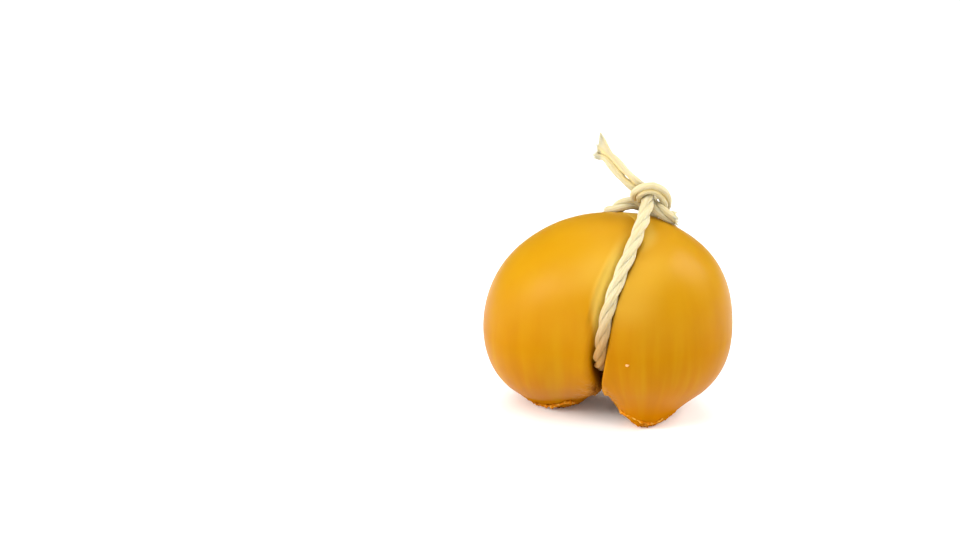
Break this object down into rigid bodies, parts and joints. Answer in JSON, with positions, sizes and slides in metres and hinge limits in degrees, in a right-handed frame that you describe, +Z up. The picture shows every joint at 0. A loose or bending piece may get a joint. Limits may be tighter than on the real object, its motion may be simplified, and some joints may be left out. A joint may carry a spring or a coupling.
{
  "type": "smoked scamorza cheese",
  "caption": "Smoked scamorza cheese: a smooth amber ball of stretched curd, drawn into lobes by the knotted cord that it hung from, standing on short torn legs.",
  "frame": {"origin": "on the surface that the cheese stands on, under the middle of its bounding box", "axes": "+X across the lobes to the right, -Y towards the front, where the cord runs up the cleft, +Z up through the knot"},
  "size_m": [0.0946, 0.0714, 0.1074],
  "materials": {
    "smoked_curd": "satin, smoked and slightly waxy skin",
    "cord_fibre": "matt twisted natural fibre"
  },
  "bodies": {
    "root": {"cheese": "smoked_curd", "cord": "cord_fibre"}
  },
  "joints": []
}
